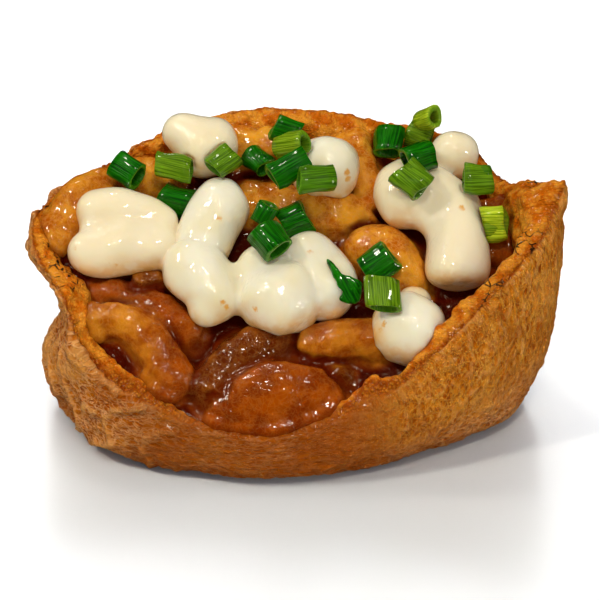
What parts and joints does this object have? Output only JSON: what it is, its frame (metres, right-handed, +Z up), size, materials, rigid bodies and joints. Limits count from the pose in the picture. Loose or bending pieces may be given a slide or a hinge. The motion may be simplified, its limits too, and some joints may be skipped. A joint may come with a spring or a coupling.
{
  "type": "inari sushi",
  "caption": "Open fried tofu pouch heaped with glazed chicken in sauce, piped mayonnaise and cut scallion rings.",
  "frame": {"origin": "on the flat spot that the pouch rests on, straight below the middle of its rim", "axes": "+X along the pouch to its tall corner, +Y from the low open side to the tall back, +Z up"},
  "size_m": [0.0781, 0.0474, 0.0414],
  "materials": {
    "tofu_skin": "matte, wrinkled, with a spongy torn lip",
    "sauce": "wet gloss",
    "glazed_chicken": "wet gloss",
    "mayonnaise": "soft gloss",
    "scallion": "satin, finely ribbed"
  },
  "bodies": {
    "root": {"pouch": "tofu_skin", "filling_bed": "sauce", "chicken_01": "glazed_chicken", "chicken_02": "glazed_chicken", "chicken_03": "glazed_chicken", "chicken_04": "glazed_chicken", "chicken_05": "glazed_chicken", "chicken_06": "glazed_chicken", "chicken_07": "glazed_chicken", "chicken_08": "glazed_chicken", "chicken_09": "glazed_chicken", "chicken_10": "glazed_chicken", "chicken_11": "glazed_chicken", "chicken_12": "glazed_chicken", "chicken_13": "glazed_chicken", "chicken_14": "glazed_chicken", "mayo_01": "mayonnaise", "mayo_02": "mayonnaise", "mayo_03": "mayonnaise", "mayo_04": "mayonnaise", "mayo_05": "mayonnaise", "mayo_06": "mayonnaise", "mayo_07": "mayonnaise", "mayo_08": "mayonnaise", "mayo_09": "mayonnaise", "mayo_10": "mayonnaise", "scallion_01": "scallion", "scallion_02": "scallion", "scallion_03": "scallion", "scallion_04": "scallion", "scallion_05": "scallion", "scallion_06": "scallion", "scallion_07": "scallion", "scallion_08": "scallion", "scallion_09": "scallion", "scallion_10": "scallion", "scallion_11": "scallion", "scallion_12": "scallion", "scallion_13": "scallion", "scallion_14": "scallion", "scallion_15": "scallion", "scallion_16": "scallion", "scallion_17": "scallion", "scallion_18": "scallion", "scallion_19": "scallion", "scallion_20": "scallion", "scallion_21": "scallion", "scallion_22": "scallion"}
  },
  "joints": []
}
